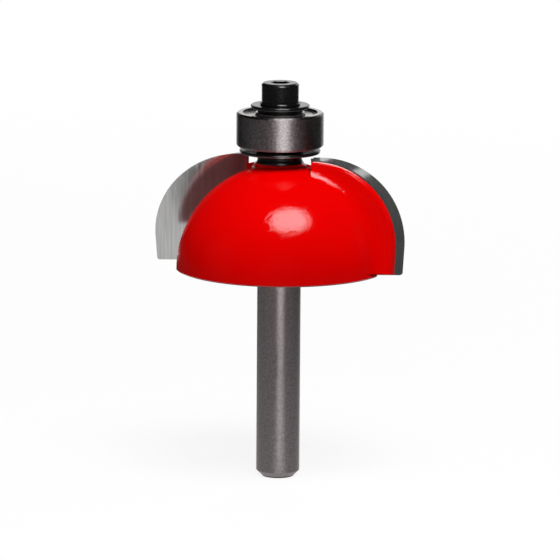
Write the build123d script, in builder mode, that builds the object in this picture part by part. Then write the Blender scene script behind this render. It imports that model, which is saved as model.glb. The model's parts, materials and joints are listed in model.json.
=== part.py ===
"""Cove router bit with a guide bearing.

A quarter-inch shank carries a domed body with two wings. Each wing holds a sheared carbide
tip, ground to a quarter circle, and a shielded ball bearing above the body guides the cut.

Millimetres. +Z runs from the shank's end to the screw's head, the origin is the centre of the
shank's end face, and X runs along both cutting faces. The bit has two-fold symmetry about Z,
and it turns anticlockwise seen from the screw's head.
"""

import os
from math import asin, degrees, hypot, sqrt

from build123d import *

os.makedirs("parts", exist_ok=True)

# Shank
shank_diameter = 6.35
shank_chamfer = 0.9
shank_root_chamfer = 0.5

# Cutting form: a quarter circle that starts just inside the bearing's radius, then a short land
cove_radius = 12.7
cutting_diameter = 37.5
form_height = 16.55
form_bottom_z = 31.05
form_top_z = form_bottom_z + form_height
cutting_radius = cutting_diameter / 2
form_start_radius = cutting_radius - cove_radius

# Cutting faces: parallel to X, ahead of the axis, and leaning so that the cut shears
face_offset_top = 1.53
face_slope = 0.244
slope_length = hypot(1, face_slope)

# Carbide tips: relieved behind the edge along one straight grinding direction
tip_depth = 2.0
tip_inner_x = 4.85
tip_corner_radius = 0.4
relief_inward = 0.585
relief_down = 0.065
bottom_clearance_angle = 13

# Steel behind each tip, a little below the carbide
backing_depth = 1.1
backing_inset = 0.15
backing_inner_x = 4.5
backing_root_fillet = 3.0

# Domed body: each wing is turned about its own axis, so that it falls away behind its tip
dome_axis_offset = 0.4
dome_radius = 15.7
dome_centre_z = 31.1
dome_edge_chamfer = 0.2

# Gullets: a pocket ahead of each tip, between the cutting face and the other wing's leaning tail
gullet_tail_y = 3.3
gullet_tail_lean = 0.1
gullet_root_x = 3.8
gullet_root_fillet = 2.0

# Neck with its turned root, and the pilot that carries the bearing
neck_radius = 3.27
neck_root_z = 46.45
neck_root_radius = 5.2
neck_root_drop = 0.75
neck_root_fillet = 1.2
shoulder_z = 48.08
pilot_diameter = 4.74
pilot_top_z = 53.7
pilot_chamfer = 0.3
thread_diameter = 3.0
thread_clearance = 0.02
tapped_hole_bottom_z = 44.0

# Lower shield washer with its boss
lower_shield_radius = 5.9
lower_shield_thickness = 0.46
lower_boss_radius = 3.4
lower_boss_height = 0.51
washer_edge_chamfer = 0.1

# Guide bearing: 3/16 bore, 1/2 outside, shielded on both sides
bearing_bore = 4.762
bearing_outside = 12.7
bearing_width = 4.978
bearing_corner = 0.25
bore_corner = 0.15
inner_land_radius = 3.55
outer_land_radius = 5.15
shield_seat_radius = 5.45
shield_seat_depth = 0.65
shield_thickness = 0.2
shield_inner_radius = 3.68
shield_outer_radius = 5.42
snap_ring_outer_radius = 5.44
snap_ring_width = 0.36
snap_ring_thickness = 0.18
snap_ring_gap_angle = 24

# Upper bush, washer and socket cap screw
upper_boss_radius = 3.3
upper_boss_height = 0.61
upper_flange_radius = 4.3
upper_flange_thickness = 0.5
upper_flange_chamfer = 0.12
screw_clearance_radius = 1.6
screw_washer_radius = 2.92
screw_washer_thickness = 0.35
screw_head_radius = 2.75
screw_head_height = 2.86
screw_head_chamfer = 0.3
screw_length = 10.0
hex_across_flats = 2.5
hex_depth = 1.4

# Stack heights
lower_boss_z = shoulder_z + lower_shield_thickness
bearing_bottom_z = lower_boss_z + lower_boss_height
bearing_middle_z = bearing_bottom_z + bearing_width / 2
bearing_top_z = bearing_bottom_z + bearing_width
upper_flange_z = bearing_top_z + upper_boss_height
screw_washer_z = upper_flange_z + upper_flange_thickness
screw_head_z = screw_washer_z + screw_washer_thickness


def write(part, name):
    """Label a finished piece and write it as its own STEP file."""
    part.label = name
    export_step(part, f"parts/{name}.step")


# ---------------------------------------------------------------------------------------------
# Cutting form, drawn on the face of the tooth that stands on +X and looks along +Y
# ---------------------------------------------------------------------------------------------


def form_radius(depth):
    """Radius of the cutting form at a depth below its top."""
    if depth >= cove_radius:
        return cutting_radius
    return form_start_radius + sqrt(cove_radius**2 - (cove_radius - depth) ** 2)


def edge_point(depth, inset=0.0):
    """The cutting edge at a depth, as X and the distance down the leaning face."""
    offset = face_offset_top + face_slope * depth
    return (sqrt((form_radius(depth) - inset) ** 2 - offset**2), -depth * slope_length)


def sunk(point, inset):
    """A point of the face's outline, moved down by an inset."""
    return (point[0], point[1] - inset)


# Y of this plane points up the face, and its normal points back into the tooth.
face_plane = Plane(
    origin=(0, -face_offset_top, form_top_z),
    x_dir=(1, 0, 0),
    z_dir=(0, -1, face_slope),
)
relief_direction = Vector(-relief_inward, -1, -relief_down)
bottom_edge_y = -(face_offset_top + face_slope * form_height)
bottom_clearance_plane = Plane(
    origin=(0, bottom_edge_y, form_bottom_z), x_dir=(1, 0, 0), z_dir=(0, 0, 1)
).rotated((-bottom_clearance_angle, 0, 0))


def tooth_face(inner_x, inset):
    """Face of a tooth on its leaning plane: flat top, cove, land, rounded corner, flat bottom."""
    cove_depths = [cove_radius * step / 10 for step in (0, 0.25, 1, 2.5, 4.5, 7, 10)]
    cove_points = [sunk(edge_point(depth, inset), inset) for depth in cove_depths]
    land_bottom = edge_point(form_height, inset)
    with BuildSketch(face_plane) as face:
        with BuildLine():
            Spline(*cove_points)
            Polyline(
                cove_points[-1],
                land_bottom,
                (inner_x, land_bottom[1]),
                (inner_x, -inset),
                cove_points[0],
            )
        make_face()
        fillet(vertices().group_by(Axis.Y)[0].sort_by(Axis.X)[-1], tip_corner_radius)
    return face.sketch


def tooth_block(inner_x, depth, inset=0.0):
    """A tooth of a given depth behind its face, with a flat inner end."""
    face = tooth_face(inner_x, inset)
    with BuildPart() as block:
        extrude(face, amount=depth * relief_direction.length, dir=relief_direction)
        split(bisect_by=Plane.YZ.offset(inner_x), keep=Keep.TOP)
    return block.part


# ---------------------------------------------------------------------------------------------
# Carbide tips
# ---------------------------------------------------------------------------------------------

tip_seat = tooth_block(tip_inner_x, tip_depth)
with BuildPart() as tip_blank:
    add(tip_seat)
    split(bisect_by=bottom_clearance_plane, keep=Keep.TOP)

for number, turn in enumerate((0, 180), start=1):
    with BuildPart() as carbide_tip:
        add(tip_blank.part.rotate(Axis.Z, turn))
    write(carbide_tip.part, f"carbide_tip_{number}")

# ---------------------------------------------------------------------------------------------
# Cutter body
# ---------------------------------------------------------------------------------------------

with BuildPart() as backing:
    add(tooth_block(backing_inner_x, tip_depth + backing_depth, backing_inset))
    split(bisect_by=bottom_clearance_plane, keep=Keep.TOP)

back_wall = Plane(
    origin=face_plane.origin + relief_direction * (tip_depth + backing_depth),
    x_dir=(1, 0, 0),
    z_dir=face_plane.z_dir,
)

with BuildPart() as wing:
    with BuildSketch(Plane.XZ):
        with BuildLine():
            start_angle = -degrees(asin((dome_centre_z - form_bottom_z) / dome_radius))
            arc = CenterArc(
                (dome_axis_offset, dome_centre_z), dome_radius, start_angle, 90 - start_angle
            )
            Polyline(arc @ 1, (dome_axis_offset, form_bottom_z), arc @ 0)
        make_face()
        chamfer(vertices().sort_by(Axis.X)[-1], dome_edge_chamfer)
    revolve(axis=Axis((dome_axis_offset, 0, 0), (0, 0, -1)), revolution_arc=180)
    add(backing.part)
    wall_edges = [edge for edge in wing.edges() if abs(back_wall.to_local_coords(edge @ 0.5).Z) < 0.01]
    backing_root = sorted(wall_edges, key=lambda edge: edge.length)[-2]
    fillet(backing_root, backing_root_fillet)

# The gullet is drawn square to the leaning tail, so its root corner is a true cylinder.
gullet_plane = Plane(
    origin=(gullet_root_x, gullet_tail_y, form_bottom_z),
    x_dir=(1, 0, 0),
    z_dir=(0, -gullet_tail_lean, 1),
)
with BuildPart() as gullet:
    with BuildSketch(gullet_plane):
        Rectangle(cutting_radius, cutting_radius, align=(Align.MIN, Align.MAX))
        fillet(vertices().group_by(Axis.X)[0].sort_by(Axis.Y)[-1], gullet_root_fillet)
    extrude(amount=form_height + 1, both=True)
    split(bisect_by=face_plane, keep=Keep.BOTTOM)

with BuildPart() as cutter_body:
    with BuildSketch(Plane.XZ):
        with BuildLine():
            Polyline(
                (0, 0),
                (shank_diameter / 2 - shank_chamfer, 0),
                (shank_diameter / 2, shank_chamfer),
                (shank_diameter / 2, form_bottom_z + 1),
                (neck_root_radius, form_bottom_z + 1),
                (neck_root_radius, neck_root_z - neck_root_drop),
                (neck_radius, neck_root_z),
                (neck_radius, shoulder_z),
                (pilot_diameter / 2, shoulder_z),
                (pilot_diameter / 2, pilot_top_z - pilot_chamfer),
                (pilot_diameter / 2 - pilot_chamfer, pilot_top_z),
                (0, pilot_top_z),
                close=True,
            )
        make_face()
        fillet(vertices().sort_by_distance((neck_radius, neck_root_z))[0], neck_root_fillet)
    revolve(axis=Axis.Z)
    for turn in (0, 180):
        add(wing.part.rotate(Axis.Z, turn))

    # Gullets and the seats of the carbide tips
    for turn in (0, 180):
        add(gullet.part.rotate(Axis.Z, turn), mode=Mode.SUBTRACT)
    for turn in (0, 180):
        add(tip_seat.rotate(Axis.Z, turn), mode=Mode.SUBTRACT)

    # Flare where the shank meets the underside
    underside_arcs = (
        cutter_body.edges()
        .filter_by(GeomType.CIRCLE)
        .filter_by_position(Axis.Z, form_bottom_z - 0.01, form_bottom_z + 0.01)
    )
    chamfer(underside_arcs.group_by(SortBy.RADIUS)[0], shank_root_chamfer)

    # Tapped hole for the screw, drawn plain at the thread's outer size
    with BuildSketch(Plane.XY.offset(pilot_top_z)):
        Circle(thread_diameter / 2 + thread_clearance)
    extrude(amount=-(pilot_top_z - tapped_hole_bottom_z), mode=Mode.SUBTRACT)
write(cutter_body.part, "cutter_body")

# ---------------------------------------------------------------------------------------------
# Shield washer under the bearing
# ---------------------------------------------------------------------------------------------

with BuildPart() as lower_shield:
    with BuildSketch(Plane.XY.offset(shoulder_z)):
        Circle(lower_shield_radius)
    extrude(amount=lower_shield_thickness)
    chamfer(lower_shield.edges().filter_by(GeomType.CIRCLE), washer_edge_chamfer)
    with BuildSketch(Plane.XY.offset(shoulder_z)):
        Circle(lower_boss_radius)
    extrude(amount=lower_shield_thickness + lower_boss_height)
    with BuildSketch(Plane.XY.offset(shoulder_z)):
        Circle(bearing_bore / 2)
    extrude(amount=lower_shield_thickness + lower_boss_height, mode=Mode.SUBTRACT)
write(lower_shield.part, "lower_shield")

# ---------------------------------------------------------------------------------------------
# Guide bearing
# ---------------------------------------------------------------------------------------------

half_width = bearing_width / 2
shield_seat_height = half_width - shield_seat_depth
bearing_plane = Plane(origin=(0, 0, bearing_middle_z), x_dir=(1, 0, 0), z_dir=(0, -1, 0))
middle_plane = Plane.XY.offset(bearing_middle_z)

with BuildPart() as bearing_inner_ring:
    with BuildSketch(bearing_plane):
        with Locations((bearing_bore / 2, 0)):
            Rectangle(
                inner_land_radius - bearing_bore / 2, bearing_width, align=(Align.MIN, Align.CENTER)
            )
        chamfer(vertices().group_by(Axis.X)[0], bore_corner)
    revolve(axis=Axis.Z)
write(bearing_inner_ring.part, "bearing_inner_ring")

with BuildPart() as bearing_outer_ring:
    with BuildSketch(bearing_plane):
        with BuildLine():
            Polyline(
                (outer_land_radius, 0),
                (outer_land_radius, shield_seat_height),
                (shield_seat_radius, shield_seat_height),
                (shield_seat_radius, half_width),
                (bearing_outside / 2 - bearing_corner, half_width),
                (bearing_outside / 2, half_width - bearing_corner),
                (bearing_outside / 2, 0),
                close=True,
            )
        make_face()
        mirror(about=Plane.XZ)
    revolve(axis=Axis.Z)
write(bearing_outer_ring.part, "bearing_outer_ring")

# Shields, each held on its seat by a split ring
shield_top = shield_seat_height + shield_thickness
with BuildPart() as shield_blank:
    with BuildSketch(bearing_plane):
        with Locations((shield_inner_radius, shield_seat_height)):
            Rectangle(
                shield_outer_radius - shield_inner_radius, shield_thickness, align=(Align.MIN, Align.MIN)
            )
    revolve(axis=Axis.Z)

with BuildPart() as snap_ring_blank:
    with BuildSketch(bearing_plane):
        with Locations((snap_ring_outer_radius, shield_top)):
            Rectangle(snap_ring_width, snap_ring_thickness, align=(Align.MAX, Align.MIN))
    revolve(axis=Axis.Z, revolution_arc=360 - snap_ring_gap_angle)

for name, blank in (("bearing_shield", shield_blank), ("shield_ring", snap_ring_blank)):
    with BuildPart() as upper_piece:
        add(blank.part)
    write(upper_piece.part, f"{name}_top")
    with BuildPart() as lower_piece:
        add(blank.part)
        mirror(about=middle_plane, mode=Mode.REPLACE)
    write(lower_piece.part, f"{name}_bottom")

# ---------------------------------------------------------------------------------------------
# Upper bush, screw washer and socket cap screw
# ---------------------------------------------------------------------------------------------

with BuildPart() as upper_shield:
    with BuildSketch(Plane.XY.offset(upper_flange_z)):
        Circle(upper_flange_radius)
    extrude(amount=upper_flange_thickness)
    chamfer(upper_shield.edges().filter_by(GeomType.CIRCLE), upper_flange_chamfer)
    with BuildSketch(Plane.XY.offset(bearing_top_z)):
        Circle(upper_boss_radius)
    extrude(amount=upper_boss_height)
    with BuildSketch(Plane.XY.offset(bearing_top_z)):
        Circle(screw_clearance_radius)
    extrude(amount=screw_washer_z - bearing_top_z, mode=Mode.SUBTRACT)
write(upper_shield.part, "upper_shield")

with BuildPart() as screw_washer:
    with BuildSketch(Plane.XY.offset(screw_washer_z)):
        Circle(screw_washer_radius)
    extrude(amount=screw_washer_thickness)
    chamfer(screw_washer.edges().filter_by(GeomType.CIRCLE), washer_edge_chamfer)
    with BuildSketch(Plane.XY.offset(screw_washer_z)):
        Circle(screw_clearance_radius)
    extrude(amount=screw_washer_thickness, mode=Mode.SUBTRACT)
write(screw_washer.part, "screw_washer")

with BuildPart() as clamp_screw:
    with BuildSketch(Plane.XY.offset(screw_head_z - screw_length)):
        Circle(thread_diameter / 2)
    extrude(amount=screw_length)
    chamfer(clamp_screw.edges().filter_by(GeomType.CIRCLE).sort_by(Axis.Z)[0], screw_head_chamfer)
    with BuildSketch(Plane.XY.offset(screw_head_z)):
        Circle(screw_head_radius)
    extrude(amount=screw_head_height)
    chamfer(clamp_screw.edges().filter_by(GeomType.CIRCLE).sort_by(Axis.Z)[-1], screw_head_chamfer)
    with BuildSketch(Plane.XY.offset(screw_head_z + screw_head_height)):
        RegularPolygon(hex_across_flats / 2, 6, major_radius=False)
    extrude(amount=-hex_depth, mode=Mode.SUBTRACT)
write(clamp_screw.part, "clamp_screw")
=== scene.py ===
"""Cove router bit on its shank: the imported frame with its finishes, on white paper in a small studio.

Metres, in the frame's own axes: the shank's end face is at the origin and +Z runs up the shank.
"""

import json
from math import pi, radians

import bmesh
import bpy
from mathutils import Matrix, Vector

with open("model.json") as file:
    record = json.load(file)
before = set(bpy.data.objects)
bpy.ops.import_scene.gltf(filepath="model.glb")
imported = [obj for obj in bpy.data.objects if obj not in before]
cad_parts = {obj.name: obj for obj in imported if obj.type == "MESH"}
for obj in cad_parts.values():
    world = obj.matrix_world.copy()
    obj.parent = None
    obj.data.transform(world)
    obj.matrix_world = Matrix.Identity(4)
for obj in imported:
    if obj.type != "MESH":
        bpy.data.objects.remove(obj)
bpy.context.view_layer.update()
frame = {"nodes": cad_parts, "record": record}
nodes = frame["nodes"]

MM = 0.001
WHITE = "#FFFFFF"

# ---------------------------------------------------------------------------------------------
# Helpers
# ---------------------------------------------------------------------------------------------


def lowest_point(name):
    """Height of a piece's lowest point."""
    return min(corner.co.z for corner in nodes[name].data.vertices)


def radius_of(name):
    """Radius of a piece about Z."""
    return max(corner.co.xy.length for corner in nodes[name].data.vertices)


def srgb(code):
    """Linear RGBA of an sRGB hex colour."""
    channels = [int(code[i : i + 2], 16) / 255 for i in (1, 3, 5)]
    linear = [c / 12.92 if c <= 0.04045 else ((c + 0.055) / 1.055) ** 2.4 for c in channels]
    return (*linear, 1.0)


def add_node(tree, kind, inputs=(), **settings):
    """Add one node, set its properties, and fill or link its inputs, given as (socket, value)."""
    node = tree.nodes.new(kind)
    for name, value in settings.items():
        setattr(node, name, value)
    for socket, value in inputs:
        if isinstance(value, bpy.types.NodeSocket):
            tree.links.new(value, node.inputs[socket])
        else:
            node.inputs[socket].default_value = value
    return node


def blank_tree(owner):
    """Give a material or a world an empty node tree."""
    owner.use_nodes = True
    owner.node_tree.nodes.clear()
    return owner.node_tree


def new_finish(name, inputs):
    """A material with one Principled shader; returns the material, its tree and its shader."""
    material = bpy.data.materials.new(name)
    tree = blank_tree(material)
    shader = add_node(tree, "ShaderNodeBsdfPrincipled", inputs)
    add_node(tree, "ShaderNodeOutputMaterial", [("Surface", shader.outputs[0])])
    return material, tree, shader


def object_pattern(tree, spacing_mm, detail=3.0, turn=(0, 0, 0)):
    """Noise on Object coordinates, with its features a number of millimetres apart along each axis."""
    place = add_node(tree, "ShaderNodeTexCoord")
    mapping = add_node(
        tree,
        "ShaderNodeMapping",
        [
            ("Vector", place.outputs["Object"]),
            ("Scale", [1 / (spacing * MM) for spacing in spacing_mm]),
            ("Rotation", turn),
        ],
    )
    noise = add_node(
        tree, "ShaderNodeTexNoise", [("Vector", mapping.outputs[0]), ("Scale", 1.0), ("Detail", detail)]
    )
    return noise.outputs["Fac"]


def spread(tree, value, low, high):
    """Map a noise value, which stays mostly between 0.3 and 0.7, to a range."""
    return add_node(
        tree,
        "ShaderNodeMapRange",
        [("Value", value), ("From Min", 0.3), ("From Max", 0.7), ("To Min", low), ("To Max", high)],
    ).outputs[0]


def tint(tree, value, dark, light):
    """Blend two colours by a noise value."""
    return add_node(
        tree,
        "ShaderNodeMix",
        [("Factor", spread(tree, value, 0, 1)), ("A", srgb(dark)), ("B", srgb(light))],
        data_type="RGBA",
    ).outputs["Result"]


EDGE_SAMPLES = 6


def relief(tree, shader, height, depth_mm, edge_mm=0.0):
    """Bump a shader's normal by a height pattern of a given depth, over edges broken to a given radius."""
    bump = add_node(
        tree, "ShaderNodeBump", [("Height", height), ("Distance", depth_mm * MM), ("Strength", 1.0)]
    )
    if edge_mm:
        rounded = add_node(tree, "ShaderNodeBevel", [("Radius", edge_mm * MM)], samples=EDGE_SAMPLES)
        tree.links.new(rounded.outputs[0], bump.inputs["Normal"])
    tree.links.new(bump.outputs[0], shader.inputs["Normal"])


# ---------------------------------------------------------------------------------------------
# Finishes
# ---------------------------------------------------------------------------------------------

# Spacings of the patterns in millimetres. On real pieces the marks of grinding, lapping and pressing and the
# grain of the oxide are about 0.02 mm apart, so they are drawn as coarse as they need to be to show.
PEEL_SPACING = 0.4
CLOUD_SPACING = 7
GROUND_SPACING = 0.3
SMOOTH_SPACING = 0.2
OXIDE_SPACING = 0.3
WHEEL_MARKS = (0.16, 3, 9)

# The cutting faces lean back by this much, and the wheel marks run up them.
FACE_LEAN = radians(13.7)

# Radii that broken edges show, in millimetres
STEEL_EDGE = 0.12
OXIDE_EDGE = 0.2

# Bare metal is this much rougher and smoother from grain to grain, and its highlights lie across its marks.
MOTTLE = 0.05
QUARTER_TURN = 0.25


def red_coating():
    """Baked fluoropolymer coating: deep red and glossy, with a fine orange peel that frays its highlights."""
    material, tree, shader = new_finish("baked_red_coating", [("IOR", 1.38)])
    peel = object_pattern(tree, (PEEL_SPACING,) * 3, detail=2.0)
    cloud = object_pattern(tree, (CLOUD_SPACING,) * 3)
    tree.links.new(tint(tree, cloud, "#EE0000", "#F50000"), shader.inputs["Base Color"])
    tree.links.new(spread(tree, peel, 0.05, 0.09), shader.inputs["Roughness"])
    relief(tree, shader, peel, depth_mm=0.034)
    return material


def round_marked_metal(name, colours, rough, spacing_mm, depth_mm, anisotropy, metallic=1.0):
    """Bare metal with marks that run round Z, from grinding, lapping or pressing.

    The marks draw its highlights out across themselves, along Z, and further the more they all run one way.
    """
    material, tree, shader = new_finish(
        name, [("Metallic", metallic), ("Anisotropic", anisotropy), ("Anisotropic Rotation", QUARTER_TURN)]
    )
    grain = object_pattern(tree, (spacing_mm,) * 3)
    tree.links.new(tint(tree, grain, *colours), shader.inputs["Base Color"])
    tree.links.new(spread(tree, grain, rough - MOTTLE, rough + MOTTLE), shader.inputs["Roughness"])
    tangent = add_node(tree, "ShaderNodeTangent", direction_type="RADIAL", axis="Z")
    tree.links.new(tangent.outputs[0], shader.inputs["Tangent"])
    relief(tree, shader, grain, depth_mm, STEEL_EDGE)
    return material


def ground_carbide():
    """Tungsten carbide ground on a diamond wheel: cool grey, with straight wheel marks up its faces."""
    material, tree, shader = new_finish("ground_carbide", [("Metallic", 0.85)])
    marks = object_pattern(tree, WHEEL_MARKS, detail=4.0, turn=(-FACE_LEAN, 0, 0))
    tree.links.new(tint(tree, marks, "#A3A3A2", "#BDBDBB"), shader.inputs["Base Color"])
    tree.links.new(spread(tree, marks, 0.1, 0.17), shader.inputs["Roughness"])
    relief(tree, shader, marks, depth_mm=0.003)
    return material


def black_oxide():
    """Steel blackened in a hot salt bath and oiled: near black, satin, with soft bright edges."""
    # Besides the screw and washer, this finish goes on the cutter's neck as painted shade.
    material, tree, shader = new_finish("oiled_black_oxide_and_neck_shade", [("IOR", 1.9)])
    grain = object_pattern(tree, (OXIDE_SPACING,) * 3)
    tree.links.new(tint(tree, grain, "#060606", "#141313"), shader.inputs["Base Color"])
    tree.links.new(spread(tree, grain, 0.17, 0.25), shader.inputs["Roughness"])
    relief(tree, shader, grain, 0.004, OXIDE_EDGE)
    return material


coating = red_coating()
carbide = ground_carbide()
black = black_oxide()

# The shank: ground between two wheels, dull, with one long soft highlight
shank_steel = round_marked_metal(
    "centreless_ground_steel",
    ("#7D7777", "#9F9899"),
    rough=0.5,
    spacing_mm=GROUND_SPACING,
    depth_mm=0.022,
    anisotropy=0.93,
)
# The bearing's rings and split wires: hardened steel, ground dull and a little darker
bearing_steel = round_marked_metal(
    "ground_bearing_steel",
    ("#6E6869", "#9A9596"),
    rough=0.45,
    spacing_mm=GROUND_SPACING,
    depth_mm=0.026,
    anisotropy=0.92,
)
# The end faces of the rings: lapped flat, smoother and paler
ring_face = round_marked_metal(
    "lapped_ring_face",
    ("#9A9694", "#ACA8A6"),
    rough=0.2,
    spacing_mm=SMOOTH_SPACING,
    depth_mm=0.001,
    anisotropy=0.0,
)
# The shields: bright pressed sheet, part diffuse, so that it is pale from all sides
shield_sheet = round_marked_metal(
    "pressed_bright_sheet",
    ("#DCDCD9", "#E8E8E5"),
    rough=0.25,
    spacing_mm=SMOOTH_SPACING,
    depth_mm=0.001,
    anisotropy=0.2,
    metallic=0.6,
)

# ---------------------------------------------------------------------------------------------
# Which finish goes where
# ---------------------------------------------------------------------------------------------

finish_of_slot = {
    "body": coating,
    "carbide": carbide,
    "bearing_steel": bearing_steel,
    "shield_sheet": shield_sheet,
    "spring_wire": bearing_steel,
    "black_washer": black,
    "black_screw": black,
}
for subpart in frame["record"]["subparts"]:
    mesh = nodes[subpart["node"]].data
    mesh.materials.clear()
    mesh.materials.append(finish_of_slot[subpart["material_slot"]])

# The cutter's coating covers the dome and its flare at the shank, up to the root of the neck. From there to
# its shoulder, which carries the lower shield, the neck gets the black finish as painted shade for the shade
# under the shield. Shank, shoulder and pilot are bare.
FLARE_HEIGHT = 0.45 * MM
SHOULDER_MARGIN = 0.03 * MM
COATING_BOTTOM = lowest_point("carbide_tip_1") - FLARE_HEIGHT
NECK_SHADE_BOTTOM = 46.65 * MM
NECK_TOP = lowest_point("lower_shield") - SHOULDER_MARGIN
NECK_RADIUS = radius_of("lower_shield")
body_mesh = nodes["cutter_body"].data
body_mesh.materials.append(shank_steel)
# The black finish on the neck is painted shade under the lower shield.
body_mesh.materials.append(black)
for face in body_mesh.polygons:
    height = face.center.z
    if not COATING_BOTTOM < height < NECK_TOP:
        face.material_index = 1
    # Painted shade: neck faces above the coating get the black finish.
    elif height > NECK_SHADE_BOTTOM and face.center.xy.length < NECK_RADIUS:
        face.material_index = 2

# The bearing's rings are lapped on their end faces, which look along Z, and ground on the rest.
END_FACE_Z = 0.95
for name in ("bearing_inner_ring", "bearing_outer_ring"):
    ring_mesh = nodes[name].data
    ring_mesh.materials.append(ring_face)
    for face in ring_mesh.polygons:
        if abs(face.normal.z) > END_FACE_Z:
            face.material_index = 1

# ---------------------------------------------------------------------------------------------
# Studio
# ---------------------------------------------------------------------------------------------


def flat_card(name, width, height, place, facing, material):
    """A stage card centred at a place, with its normal along a direction."""
    mesh = bpy.data.meshes.new(name)
    form = bmesh.new()
    # One metre square, before it is scaled
    bmesh.ops.create_grid(form, x_segments=1, y_segments=1, size=0.5)
    bmesh.ops.scale(form, vec=(width, height, 1), verts=form.verts)
    turn = Vector(facing).to_track_quat("Z", "Y").to_matrix().to_4x4()
    bmesh.ops.transform(form, matrix=Matrix.Translation(place) @ turn, verts=form.verts)
    form.to_mesh(mesh)
    form.free()
    mesh.materials.append(material)
    card = bpy.data.objects.new(name, mesh)
    bpy.context.scene.collection.objects.link(card)
    return card


UP = (0, 0, 1)
FLOOR_SIZE = 8

# To the camera the paper is mostly its own glow, so that only a soft part of the bit's shadow shows on it.
# The share of the glow grows outwards from the bit, until the shadow is gone.
NEAR_REACH = 0.08
NEAR_SHARE = 0.88
FAR_REACH = 0.4
FAR_SHARE = 1.0
PAPER_IN_REFLECTIONS = 0.04


def white_paper():
    """Seamless paper: white to the camera but for the bit's shadow, dark in reflections, clear from below."""
    material = bpy.data.materials.new("white_paper")
    tree = blank_tree(material)
    ray = add_node(tree, "ShaderNodeLightPath")
    paper = add_node(tree, "ShaderNodeBsdfDiffuse", [("Color", srgb(WHITE))])
    bright = add_node(tree, "ShaderNodeEmission", [("Color", srgb(WHITE)), ("Strength", 1.0)])
    dim = add_node(tree, "ShaderNodeEmission", [("Color", srgb(WHITE)), ("Strength", PAPER_IN_REFLECTIONS)])
    place = add_node(tree, "ShaderNodeTexCoord")
    from_bit = add_node(tree, "ShaderNodeVectorMath", [(0, place.outputs["Object"])], operation="LENGTH")
    fade = add_node(
        tree,
        "ShaderNodeMapRange",
        [
            ("Value", from_bit.outputs["Value"]),
            ("From Min", NEAR_REACH),
            ("From Max", FAR_REACH),
            ("To Min", NEAR_SHARE),
            ("To Max", FAR_SHARE),
        ],
    )
    share = add_node(
        tree,
        "ShaderNodeMath",
        [(0, ray.outputs["Is Camera Ray"]), (1, fade.outputs[0])],
        operation="MULTIPLY",
    )
    seen = add_node(
        tree, "ShaderNodeMixShader", [(0, share.outputs[0]), (1, paper.outputs[0]), (2, bright.outputs[0])]
    )
    surface = add_node(
        tree,
        "ShaderNodeMixShader",
        [(0, ray.outputs["Is Glossy Ray"]), (1, seen.outputs[0]), (2, dim.outputs[0])],
    )
    side = add_node(tree, "ShaderNodeNewGeometry")
    clear = add_node(tree, "ShaderNodeBsdfTransparent")
    sheet = add_node(
        tree,
        "ShaderNodeMixShader",
        [(0, side.outputs["Backfacing"]), (1, surface.outputs[0]), (2, clear.outputs[0])],
    )
    add_node(tree, "ShaderNodeOutputMaterial", [("Surface", sheet.outputs[0])])
    return material


floor = flat_card("floor", FLOOR_SIZE, FLOOR_SIZE, (0, 0, 0), UP, white_paper())
floor.visible_diffuse = False


def reflector(name, width, height, place, facing, strength):
    """A card that only reflections see, at a given brightness."""
    material = bpy.data.materials.new(name)
    tree = blank_tree(material)
    glow = add_node(tree, "ShaderNodeEmission", [("Color", srgb(WHITE)), ("Strength", strength)])
    add_node(tree, "ShaderNodeOutputMaterial", [("Surface", glow.outputs[0])])
    card = flat_card(name, width, height, place, facing, material)
    card.visible_camera = False
    card.visible_diffuse = False
    card.visible_transmission = False
    card.visible_shadow = False


# Black flags stand round the bit and hang over it, open towards the white wall behind it.
FLAG_BRIGHTNESS = 0.012
for name, width, height, place, facing in [
    ("flag_left", 5.5, 2.0, (-1.2, 1.25, 1.0), (1, 0, 0)),
    ("flag_right", 3.1, 2.0, (1.2, 0.05, 1.0), (-1, 0, 0)),
    ("flag_front", 2.4, 2.0, (0, -1.5, 1.0), (0, 1, 0)),
    ("flag_top", 2.4, 5.5, (0, 1.25, 1.9), (0, 0, -1)),
]:
    reflector(name, width, height, place, facing, FLAG_BRIGHTNESS)

# White cards lie on the paper under the bit, behind it and to its left, and a bright strip in front of it.
CARD_LIFT = 0.2 * MM
for name, width, depth, x, y, brightness in [
    ("white_card", 0.15, 0.12, -0.01, 0.012, 1.0),
    ("back_card", 0.36, 0.2, 0.01, 0.33, 2.0),
    ("left_card", 0.0535, 0.04, -0.04325, -0.068, 1.0),
    ("front_strip", 0.044, 0.07, 0.014, -0.09, 11.0),
]:
    reflector(name, width, depth, (x, y, CARD_LIFT), UP, brightness)

LAMP_DISTANCE = 0.7
DOME_MIDDLE = Vector((0, 0, 38 * MM))


def softbox(name, direction, width, height, radiance, in_reflections=True):
    """An elliptical area lamp in a direction from the dome, facing it."""
    lamp = bpy.data.lights.new(name, "AREA")
    lamp.shape = "ELLIPSE"
    lamp.size = width
    lamp.size_y = height
    lamp.energy = radiance * pi * (pi / 4 * width * height)
    unit = bpy.data.objects.new(name, lamp)
    bpy.context.scene.collection.objects.link(unit)
    unit.visible_glossy = in_reflections
    unit.location = DOME_MIDDLE + Vector(direction).normalized() * LAMP_DISTANCE
    unit.rotation_euler = Vector(direction).to_track_quat("Z", "Y").to_euler()


softbox("key_softbox", (0.122, -0.47, 0.875), 0.48, 0.33, 11.7)

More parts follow.
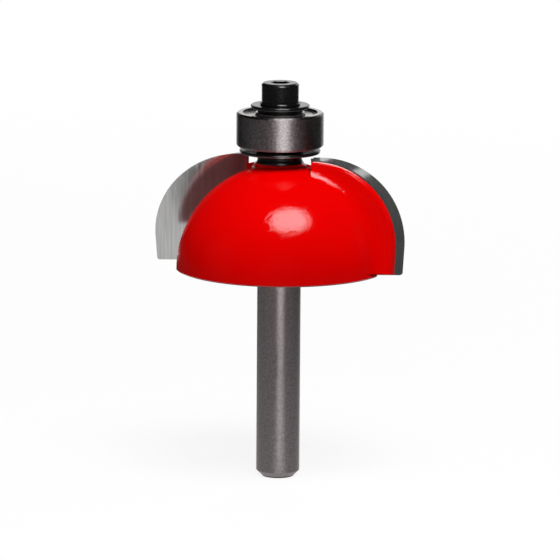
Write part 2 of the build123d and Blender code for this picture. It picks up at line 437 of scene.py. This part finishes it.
# Fills lift the shaded sides, and don't show in the coating's gloss.
FILL_SIZE = 0.5
for name, direction, radiance in [
    ("front_fill", (0, -1, 0.1), 0.6),
    ("left_fill", (-1, -0.3, 0.2), 1.2),
    ("right_fill", (1, 0.5, 0.2), 2.5),
    ("back_fill", (0.1, 1, 0.12), 3.5),
]:
    softbox(name, direction, FILL_SIZE, FILL_SIZE, radiance, in_reflections=False)

AMBIENT = 0.07
BACKDROP = 1.0


def white_studio():
    """The room: white to the camera, in reflections and through clear pieces, and a dim light on the bit."""
    world = bpy.data.worlds.new("white_studio")
    tree = blank_tree(world)
    ray = add_node(tree, "ShaderNodeLightPath")
    seen_straight = add_node(
        tree,
        "ShaderNodeMath",
        [(0, ray.outputs["Is Camera Ray"]), (1, ray.outputs["Is Transmission Ray"])],
        operation="MAXIMUM",
    )
    seen = add_node(
        tree,
        "ShaderNodeMath",
        [(0, seen_straight.outputs[0]), (1, ray.outputs["Is Glossy Ray"])],
        operation="MAXIMUM",
    )
    ambient = add_node(tree, "ShaderNodeBackground", [("Color", srgb(WHITE)), ("Strength", AMBIENT)])
    backdrop = add_node(tree, "ShaderNodeBackground", [("Color", srgb(WHITE)), ("Strength", BACKDROP)])
    sky = add_node(
        tree, "ShaderNodeMixShader", [(0, seen.outputs[0]), (1, ambient.outputs[0]), (2, backdrop.outputs[0])]
    )
    add_node(tree, "ShaderNodeOutputWorld", [("Surface", sky.outputs[0])])
    return world


bpy.context.scene.world = white_studio()

# ---------------------------------------------------------------------------------------------
# Camera
# ---------------------------------------------------------------------------------------------

TARGET = Vector((0.144, 0, 29.159)) * MM
DISTANCE = 814 * MM
ELEVATION = radians(10.876)
ROLL = radians(0.394)
VIEW_WIDTH = 81.80 * MM
SENSOR_WIDTH = 36

lens = bpy.data.cameras.new("camera")
lens.sensor_width = SENSOR_WIDTH
lens.lens = SENSOR_WIDTH * DISTANCE / VIEW_WIDTH
lens.clip_start = 0.01
camera = bpy.data.objects.new("camera", lens)
bpy.context.scene.collection.objects.link(camera)
tilt = Matrix.Rotation(radians(90) - ELEVATION, 4, "X")
roll = Matrix.Rotation(ROLL, 4, "Z")
camera.matrix_world = Matrix.Translation(TARGET) @ tilt @ roll @ Matrix.Translation((0, 0, DISTANCE))
bpy.context.scene.camera = camera

bpy.context.scene.view_settings.view_transform = "Standard"
